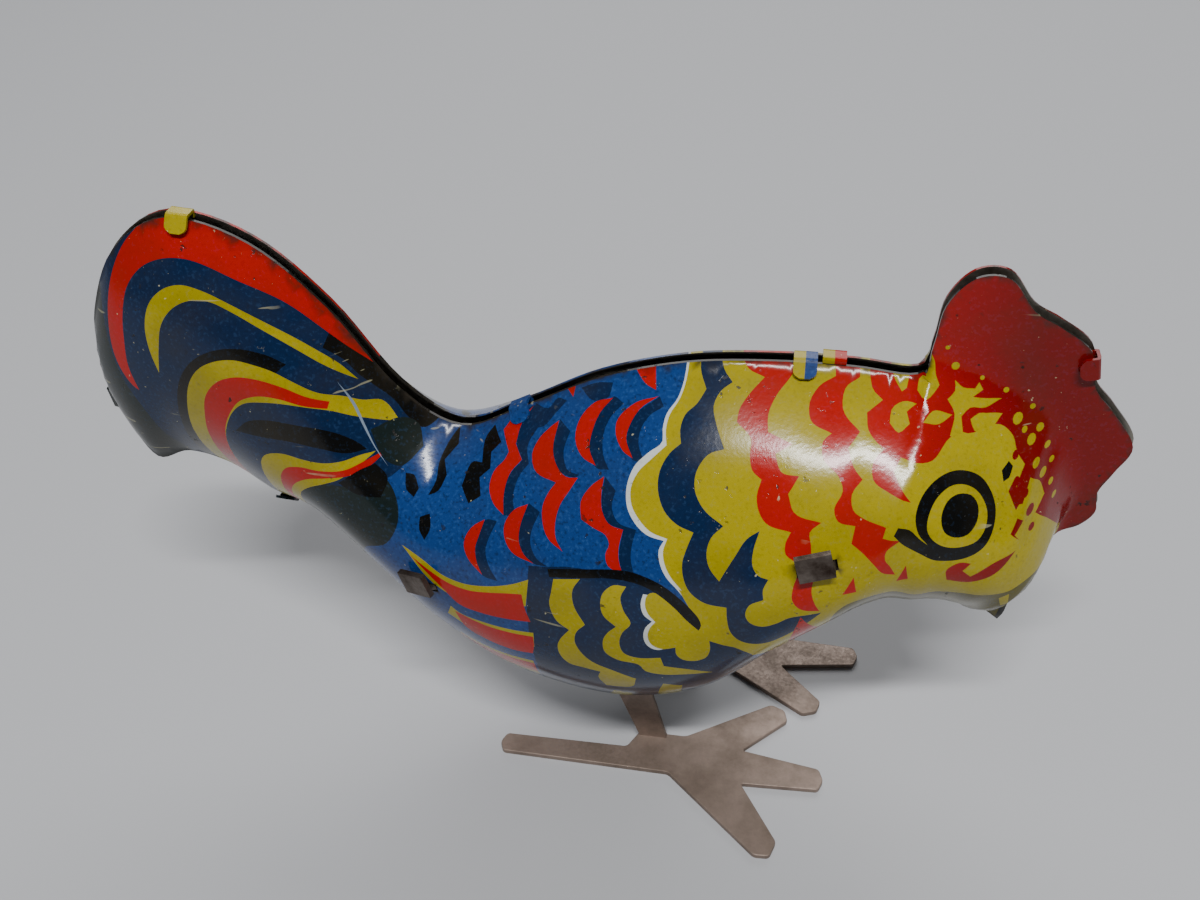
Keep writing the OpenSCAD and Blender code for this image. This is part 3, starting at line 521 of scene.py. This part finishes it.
               " -0.4 22.2 1.2 21.8 3.4 22 6 22.4 4 23 1.4 23.4 1.1 24.7 -1.2 24.3 -2.4 24.7"
               " -2.8 26 -2.5 27.4 -1.7 28.7 -2.4 30 -2.7 31.3 -2.2 32.4 -3.4 32.3"),
    ("white", "-0.6 32 -0.8 31 -0.5 29.9 0.3 29.3 -0.3 28.5 -0.5 27.3 -0.1 26.2 0.8 25.8 2 26.6"
              " 2 29 1 32"),
    ("yellow", "-0.2 32 -0.4 31 -0.1 30.1 0.6 29.3 0.1 28.5 -0.1 27.4 0.3 26.4 1.2 26 2.5 26.4"
               " 2.6 25.4 3.2 24.7 4.3 24.6 5.3 25.2 5.7 26.5 5.6 27.7 7 27.2 9.6 26.6 8.2 28"
               " 7.2 29.6 7 31.6 5.2 31.8 3.6 32.6 2.6 33 3.6 31.4 4.4 30 3.6 30.6 2.4 31.6"
               " 1 32.2 0.3 32.3"),
    ("black", "-9.8 32.4 -9.6 31.7 -8 32 -6 32.4 -4 32.8 -2 32.9 -0.5 32.7 0.9 32.1 2.3 31.1"
              " 3.5 29.9 4.6 28.9 4.8 29.5 4.6 30.2 3.8 31.2 2.6 32.2 1.1 33.1 -0.5 33.6 -2 33.8"
              " -4 33.6 -6 33.2 -8 32.8"),
    ("yellow", "-4.7 13 -4 16 -2.2 15.6 -2.6 12 -3 9 -4.6 9"),
    ("yellow", "0.6 17 1.2 19.6 3 19 2.6 15 2.4 11 0.8 12"),
    # Flank stripes behind the wing
    ("yellow", "-25.3 30.3 -23 29.4 -21 28.5 -18.6 28.3 -16 28.9 -13.5 29.9 -11.7 30.9 -12 28"
               " -18 26 -22 27"),
    ("red", "-24.4 29.4 -22 28.3 -20 27.7 -18 27.7 -16 28.2 -14 28.8 -12.4 29.2 -12.1 27.6"
            " -11.6 26.2 -14 25.7 -17 25.3 -19.3 25.4 -20.8 26.6 -22.6 28"),
    ("yellow", "-20.4 24.6 -19.4 24 -17 24 -14 24.3 -11.4 24.8 -11.5 22.6 -16 21 -21 23"),
    ("red", "-20 24 -17 23.6 -14 23.8 -11.5 24.2 -11.5 23 -11.8 21.3 -14 20.8 -17 20.9 -19 21.6"),
    ("yellow", "-20.6 19 -17 18.8 -12 19.6 -12 15 -20 15"),
    ("red", "-20.6 18.4 -17 18.2 -12 19 -12 16.4 -17 15.6 -21.6 16"),
    ("yellow", "-21 13.6 -16 13.4 -12 14 -12 10 -20 9"),
    ("red", "-21 13 -16 12.8 -12 13.4 -12 11 -17 9.8 -21 10.4"),
    # Eye
    ("black", "22.5 40.6 22.9 41.9 23.9 42.8 25.4 43.2 27 43 28.4 42.1 29.3 40.6 29.3 39 28.7 37.6"
              " 27.4 36.7 26 36.5 24.6 36.7 23.4 37.3 21.8 38.3 20.8 39.3 21.1 39.9 22.1 39.6"
              " 23 38.8 23.8 38.2 22.9 39.2"),
    ("yellow", "23.6 40.5 24.1 41.6 25.2 42.3 26.6 42.3 27.8 41.6 28.6 40.4 28.6 39.2 28 38.2"
               " 26.9 37.8 25.4 37.9 24.2 38.6 23.6 39.5"),
    ("black", "24.7 40.4 25.1 41.4 26 41.8 27.1 41.6 27.8 40.8 27.8 39.7 27.1 38.8 26 38.7"
              " 25.1 39.2"),
    ("black", "29.7 42.6 30.3 43 30.7 42.6 30.4 42 29.9 41.9"),
]


MOTOR_TILT = 15
LUG_SLOT_X, LUG_SLOT_Z = 1.8, 0.5
# Length of a leg's opening, and the shell's half widths that it lies between
LEG_SLOT = 8.6
LEG_SLOT_SIDES = (4.6, 7.0)


def slot_edge(spot):
    """Slot for a motor lug, tilted like the motor."""
    turn = Matrix.Rotation(math.radians(MOTOR_TILT), 2)
    return [Vector(spot) + turn @ Vector((x * LUG_SLOT_X, z * LUG_SLOT_Z))
            for x, z in ((-1, -1), (1, -1), (1, 1), (-1, 1))]


def leg_slot_edge(lead):
    """Opening under the belly where a leg comes out, between two widths of the shell."""
    start = (PIVOT[0] + lead - STRIP_BACK) / 2 - LEG_SLOT / 2
    sides = []
    for width in LEG_SLOT_SIDES:
        line = []
        for k in range(8):
            x = start + LEG_SLOT * k / 7
            z = 2
            while pressed(x, z) + RIM_GAP / 2 + TIN < width:
                z += 0.05
            line.append(Vector((x, z)))
        sides.append(line)
    return sides[0] + sides[1][::-1]


def is_turned_left(loop):
    """Whether an outline runs anticlockwise, seen from the toy's right."""
    return sum(a.x * b.y - b.x * a.y for a, b in zip(loop, loop[1:] + loop[:1])) > 0


# Points between the outlines, this far apart, let the sheet follow the die
SHEET_PITCH = 0.8
SHEET_START = (-60, 2)
SHEET_SIZE = (104, 60)
# Outside the comb, none where the sheet is pressed less than this
SHEET_FLAT = 0.3
COMB_REAR = 22


def printed_sheet(lip, holes):
    """The flat print cut up along its colours: corners, triangles, and each one's ink."""
    edges = [ink_edge(text) for ink, text in PICTURE]
    loops = [rim_line(lip)] + edges + holes
    loops = [loop if is_turned_left(loop) else loop[::-1] for loop in loops]
    dots, faces = [], []
    for loop in loops:
        faces.append(list(range(len(dots), len(dots) + len(loop))))
        dots += loop
    for i in range(int(SHEET_SIZE[0] / SHEET_PITCH)):
        for j in range(int(SHEET_SIZE[1] / SHEET_PITCH)):
            x = SHEET_START[0] + i * SHEET_PITCH + (j % 2) * SHEET_PITCH / 2
            z = SHEET_START[1] + j * SHEET_PITCH
            if pressed(x, z) > SHEET_FLAT or x > COMB_REAR:
                dots.append(Vector((x, z)))
    corners, _, triangles, _, _, owners = delaunay_2d_cdt(dots, [], faces, 1, 1e-4, True)
    first_hole = 1 + len(edges)
    kept = []
    for triangle, owner in zip(triangles, owners):
        if 0 in owner and max(owner) < first_hole:
            ink = PICTURE[max(owner) - 1][0] if max(owner) else "blue"
            kept.append((triangle, ink))
    return corners, kept


# Where the red begins to deepen, and the length over which it turns to crimson
CRIMSON_FROM = 19
CRIMSON_BLEND = 12


def paint(face, layer, ink):
    """Inks the corners of a face.  Red deepens to crimson from the neck into the comb."""
    colour, grain = INKS[ink]
    crimson = Vector(linear(INKS["crimson"][0])[:3])
    for corner in face.loops:
        deep = min(1, max(0, (corner.vert.co.x - CRIMSON_FROM) / CRIMSON_BLEND))
        share = deep if ink == "red" else 0
        corner[layer] = [*Vector(linear(colour)[:3]).lerp(crimson, share), grain]


TAB_W = 2.1
TAB_LENGTH = 1.5
TAB_RISE = 0.15


def add_tab(shell, u, top, side, colours):
    """A tab from the rim of the shell on one side, folded over the other shell."""
    st = station(u)
    lip = RIM_LIP if side > 0 else 0
    out = Vector((st[2] - st[0], 0, st[3] - st[1])).normalized() * (1 if top else -1)
    here = Vector((st[2], 0, st[3])) if top else Vector((st[0], 0, st[1]))
    here += out * lip
    before, after = station(u - 0.05), station(u + 0.05)
    at = 2 if top else 0
    run = Vector((after[at] - before[at], 0, after[at + 1] - before[at + 1])).normalized()
    up = Vector((-run.z, 0, run.x)) * (1 if top else -1)
    flat = comb_share(st)
    half = math.hypot(st[2] - st[0], st[3] - st[1]) * (1 - flat) / 2
    drop = math.radians(87) if flat > 0.02 else math.radians(3) + math.atan2(
        half, PRESS_ROUND * PRESS_DEPTH * st[4])
    far = RIM_GAP + 2 * TIN + 0.1
    rise = TAB_RISE if side > 0 else TAB_RISE + RIM_LIP
    mid = TIN / 2
    # Centre line of the bent strip: across the toy, then outwards from the rim
    bend = [(mid, -0.5), (mid, rise - 0.1), (mid - 0.1, rise + mid - 0.03),
            (mid - 0.25, rise + mid),
            (-far + 0.3, rise + mid), (-far + 0.05, rise + mid - 0.06),
            (-far - 0.12, rise + mid - 0.24)]
    tip = (math.cos(drop), math.sin(drop))
    root = bend[-1]
    bend += [(root[0] - tip[0] * TAB_LENGTH * k / 6, root[1] - tip[1] * TAB_LENGTH * k / 6)
             for k in range(1, 7)]
    # The free end is rounded off like a thumbnail
    narrow = [1] * 10 + [0.97, 0.8, 0.42]
    strip = bmesh.new()
    bmesh.ops.create_grid(strip, x_segments=2, y_segments=len(bend) - 1, size=0.5)
    for vert in strip.verts:
        row = round((vert.co.y + 0.5) * (len(bend) - 1))
        across, outward = bend[row]
        spot = here + up * outward + Vector((0, side * (RIM_GAP / 2 + across), 0))
        vert.co = spot + run * TAB_W * narrow[row] * vert.co.x
    bmesh.ops.recalc_face_normals(strip, faces=strip.faces)
    middle = strip.faces[len(strip.faces) // 3]
    if middle.normal.dot(up) < 0:
        bmesh.ops.reverse_faces(strip, faces=strip.faces)
    skin = strip.faces[:]
    bmesh.ops.solidify(strip, geom=skin, thickness=TIN * 0.98)
    ink_layer = strip.loops.layers.float_color.new("ink")
    for face in strip.faces:
        back = (face.calc_center_median() - here).dot(run) < 0
        paint(face, ink_layer, colours[0] if back else colours[1])
        face.smooth = True
    mesh = bpy.data.meshes.new("tab")
    strip.to_mesh(mesh)
    strip.free()
    shell.from_mesh(mesh)
    bpy.data.meshes.remove(mesh)


def lift(side, lip, sheet, tabs, name, body, node):
    """Presses the printed sheet to the die, gives it its wall and adds its tabs."""
    corners, triangles = sheet
    shell = bmesh.new()
    ink_layer = shell.loops.layers.float_color.new("ink")
    rim_layer = shell.verts.layers.float.new("rim")
    seat = RIM_GAP / 2
    verts, facing = [], []
    for x, z in corners:
        height = pressed(x, z)
        verts.append(shell.verts.new((x, side * (seat + TIN + height), z)))
        facing.append(slope(x, z))
    for triangle, ink in triangles:
        order = triangle if side < 0 else triangle[::-1]
        face = shell.faces.new([verts[i] for i in order])
        paint(face, ink_layer, ink)
        face.material_index = 0
    loose = [v for v in shell.verts if not v.link_faces]
    normal_at = {v: n for v, n in zip(verts, facing) if v.link_faces}
    bmesh.ops.delete(shell, geom=loose, context="VERTS")
    for vert in shell.verts:
        vert[rim_layer] = 1.0 if vert.is_boundary else 0.0
    # The wall: a second skin inside, joined round the rim and the openings.  At the rim
    # it lies on the seam, and past it a little further in than the sheet's thickness.
    outer = shell.faces[:]
    twin = bmesh.ops.duplicate(shell, geom=outer)
    inner_of = {a: b for a, b in twin["vert_map"].items() if isinstance(a, bmesh.types.BMVert)}
    inner = [f for f in twin["geom"] if isinstance(f, bmesh.types.BMFace)]
    for v in [v for v in twin["geom"] if isinstance(v, bmesh.types.BMVert)]:
        height = abs(v.co.y) - seat - TIN
        v.co.y = side * (seat + max(0, height - 1.6 * TIN * height / (height + 1)))
    bmesh.ops.reverse_faces(shell, faces=inner)
    for face in inner:
        face.material_index = 1
    for edge in [e for f in outer for e in f.edges if e.is_boundary]:
        a, b = edge.link_loops[0].vert, edge.link_loops[0].link_loop_next.vert
        printed = Vector(edge.link_loops[0][ink_layer])
        wall = shell.faces.new((b, a, inner_of[a], inner_of[b]))
        paint(wall, ink_layer, "black")
        if side > 0:
            # The wider half is cut after printing, and its picture runs over the edge
            for corner in wall.loops:
                corner[ink_layer] = printed
    shell.verts.index_update()
    normal_of = {}
    for vert, normal in normal_at.items():
        turned = Vector((normal.x, side * normal.y, normal.z))
        normal_of[vert.index] = turned
        normal_of[inner_of[vert].index] = -turned
    skin_faces = len(outer) + len(inner)
    for tab in tabs:
        add_tab(shell, *tab[:2], side, tab[2:])
    for vert in shell.verts:
        vert.co = point(*vert.co)
    for face in shell.faces:
        face.smooth = True
    made = piece(name, shell, body, node, [litho, bare_inside])
    mesh = made.data
    directions = []
    for polygon in mesh.polygons:
        flat = polygon.index >= skin_faces
        for k in polygon.loop_indices:
            at = mesh.loops[k].vertex_index
            directions.append(polygon.normal if flat or at not in normal_of
                              else normal_of[at])
    mesh.normals_split_custom_set(directions)
    return made


# Oil inks under a hard varnish on tin.  Over the flat colour come the grain of the
# print, faint dirt, chips down to dark metal, pale rubs and a varnish that wavers
# over marks of the press, so that a long highlight breaks up into grains.
litho = bpy.data.materials.new("lithographed_tinplate")
litho.use_nodes = True
tree = litho.node_tree
shader = tree.nodes["Principled BSDF"]
shader.inputs["IOR"].default_value = 1.45
shader.inputs["Specular IOR Level"].default_value = 0.32
place = add(tree, "TexCoord", {}, {}).outputs["Object"]
ink = add(tree, "Attribute", {"attribute_name": "ink"}, {})
rim = add(tree, "Attribute", {"attribute_name": "rim"}, {}).outputs["Fac"]


# Noises that the wear is made of: size of the grains in millimetres, and detail
noise = {}
for name, size, detail in (("grain", 0.34, 3), ("cloud", 7, 3), ("rub_and_painted_highlight", 0.5, 4),
                           ("rub_patch", 3, 2), ("chip", 0.8, 4), ("chip_patch", 6, 2),
                           ("rim_patch", 1.5, 3), ("dent", 6, 1), ("peel", 0.45, 2)):
    noise[name] = add(tree, "TexNoise", {}, {"Vector": place, "Scale": 1000 / size,
                                             "Detail": detail}).outputs["Fac"]
# Scratches are the peaks of a grain 11 mm long, 2.5 mm wide and 0.5 mm high
drawn_out = add(tree, "Mapping", {}, {"Vector": place, "Rotation": (0.0, 0.5, 0.0),
                                      "Scale": (90.0, 400.0, 1900.0)}).outputs["Vector"]
noise["hair"] = add(tree, "TexNoise", {}, {"Vector": drawn_out, "Scale": 1.0,
                                           "Detail": 1.0}).outputs["Fac"]
# A noise spread over a range and held there: source, from where to where, least, most
ranges = {}
for name, source, low, high, least, most in (
        ("light_grain", "grain", 0.56, 0.66, 0, 0.16),
        ("dark_grain", "grain", 0.44, 0.34, 0, 0.42),
        ("dirt", "cloud", 0.45, 0.75, 0, 0.28),
        ("rubs", "rub_and_painted_highlight", 0.7, 0.73, 0, 0.6), ("rubbed_patches", "rub_patch", 0.48, 0.6, 0, 1),
        ("chips", "chip", 0.66, 0.69, 0, 1), ("chipped_patches", "chip_patch", 0.5, 0.6, 0, 1),
        ("scratches", "hair", 0.725, 0.74, 0, 0.4),
        ("scratched_patches", "cloud", 0.52, 0.58, 0, 1),
        ("worn_rim", "rim_patch", 0.4, 0.62, 0.15, 0.9),
        ("gloss", "cloud", 0.3, 0.7, 0.12, 0.2)):
    ranges[name] = add(tree, "MapRange", {}, {"Value": noise[source], "From Min": low,
                                              "From Max": high, "To Min": least,
                                              "To Max": most}).outputs["Result"]
# Chips go down to the metal: they hide the ink, dull the varnish and lie lower
chips = add(tree, "Math", {"operation": "MULTIPLY"},
            {0: ranges["chips"], 1: ranges["chipped_patches"]}).outputs[0]
# Laid over the ink in turn: how much, where, and the colour that shows.  Grain is
# ink that took thick or thin, dirt lies in broad patches, and cut edges are worn.
colour = ink.outputs["Color"]
for amount, where, tint in (
        (ranges["light_grain"], ink.outputs["Alpha"], "4A78B0"),
        (ranges["dark_grain"], ink.outputs["Alpha"], "0D1116"),
        (ranges["dirt"], 1.0, "3A3322"),
        (ranges["rubs"], ranges["rubbed_patches"], "CFC9A0"),
        (chips, 0.85, "191511"),
        (ranges["scratches"], ranges["scratched_patches"], "B9B48E"),
        (ranges["worn_rim"], rim, "2A251E")):
    share = add(tree, "Math", {"operation": "MULTIPLY"}, {0: amount, 1: where}).outputs[0]
    colour = add(tree, "Mix", {"data_type": "RGBA"},
                 {0: share, 6: colour, 7: linear(tint)}).outputs[2]
tree.links.new(colour, shader.inputs["Base Color"])
gloss = add(tree, "Math", {"operation": "MULTIPLY_ADD"}, {0: chips, 1: 0.3, 2: ranges["gloss"]})
tree.links.new(gloss.outputs[0], shader.inputs["Roughness"])
dents = add(tree, "Bump", {}, {"Height": noise["dent"], "Strength": 0.3, "Distance": 0.00008})
peel = add(tree, "Bump", {}, {"Height": noise["peel"], "Strength": 0.35, "Distance": 0.00002,
                              "Normal": dents.outputs["Normal"]})
cut = add(tree, "Bump", {"invert": True}, {"Height": chips, "Strength": 0.5,
                                           "Distance": 0.00003,
                                           "Normal": peel.outputs["Normal"]})
tree.links.new(cut.outputs["Normal"], shader.inputs["Normal"])

# The unprinted side of the tinplate: grey tin with a brown bloom.
bare_inside = worn_metal("bare_tin_inside", "8E8A80", "4B4136", 0.42, 6, 0.4, 0.9)

# Each tab's section, whether it is on the top rim, and its ink behind and ahead
LEFT_TABS = [(3.2, True, "yellow", "yellow"), (0.35, False, "slate", "slate"),
             (5.3, False, "slate", "slate"), (7.9, True, "blue", "blue"),
             (11.37, True, "yellow", "blue"), (20.45, True, "red", "red"),
             (10.4, False, "navy", "navy")]
RIGHT_TABS = [(11.74, True, "yellow", "red")]
lug_slots = [slot_edge((14.6, 36.4)), slot_edge((-23.4, 26))]
key_hole = round_edge((-7.5, 25.5), 3.2)
right_holes = lug_slots + [leg_slot_edge(0.0)]
left_holes = lug_slots + [leg_slot_edge(LEFT_LEAD), key_hole]
lift(-1, 0, printed_sheet(0, right_holes), RIGHT_TABS, "right_shell_printed", "body",
     "right_shell")
lift(1, RIM_LIP, printed_sheet(RIM_LIP, left_holes), LEFT_TABS, "left_shell_printed", "body",
     "left_shell")


# --- Table, light and camera ----------------------------------------------------
# A plain pale table top, a soft lamp overhead that draws the long highlight along
# the back, and a view from the right, above and a little ahead.
floor_mesh = bmesh.new()
bmesh.ops.create_grid(floor_mesh, x_segments=1, y_segments=1, size=1.5)
mesh = bpy.data.meshes.new("table_top")
floor_mesh.to_mesh(mesh)
floor_mesh.free()
table = bpy.data.objects.new("table_top", mesh)
bpy.context.scene.collection.objects.link(table)
# Matt pale grey card
card = bpy.data.materials.new("pale_table")
card.use_nodes = True
shader = card.node_tree.nodes["Principled BSDF"]
shader.inputs["Base Color"].default_value = linear("B1B2B5")
shader.inputs["Roughness"].default_value = 0.75
mesh.materials.append(card)

world = bpy.data.worlds.new("room")
world.use_nodes = True
background = world.node_tree.nodes["Background"]
background.inputs["Color"].default_value = linear("E6EAF0")
background.inputs["Strength"].default_value = 0.12
bpy.context.scene.world = world


def soft_lamp(name, direction, distance, size, watts):
    """A lamp of size (along x, across) that faces the toy from a direction."""
    light = bpy.data.lights.new(name, "AREA")
    light.shape = "RECTANGLE"
    light.size, light.size_y = size
    light.energy = watts
    lamp = bpy.data.objects.new(name, light)
    away = Vector(direction).normalized()
    lamp.location = Vector((0, 0, 0.03)) + away * distance
    lamp.rotation_euler = away.to_track_quat("Z", "Y").to_euler()
    bpy.context.scene.collection.objects.link(lamp)


soft_lamp("overhead", (0.1, -0.46, 0.88), 0.8, (0.4, 0.04), 7)
soft_lamp("ceiling", (0.0, 0.9, 0.8), 1.2, (1.2, 0.8), 10)

camera_data = bpy.data.cameras.new("view")
camera_data.lens = 35
camera_data.sensor_width = 36
camera_data.clip_start = 0.005
camera = bpy.data.objects.new("view", camera_data)
AZIMUTH, ELEVATION, ROLL = [math.radians(a) for a in (11.52, 38.37, -2.47)]
camera.matrix_world = (Matrix.Translation(point(11.06, -88.55, 108.09))
                       @ Matrix.Rotation(AZIMUTH, 4, "Z")
                       @ Matrix.Rotation(math.pi / 2 - ELEVATION, 4, "X")
                       @ Matrix.Rotation(ROLL, 4, "Z"))
bpy.context.scene.collection.objects.link(camera)
bpy.context.scene.camera = camera
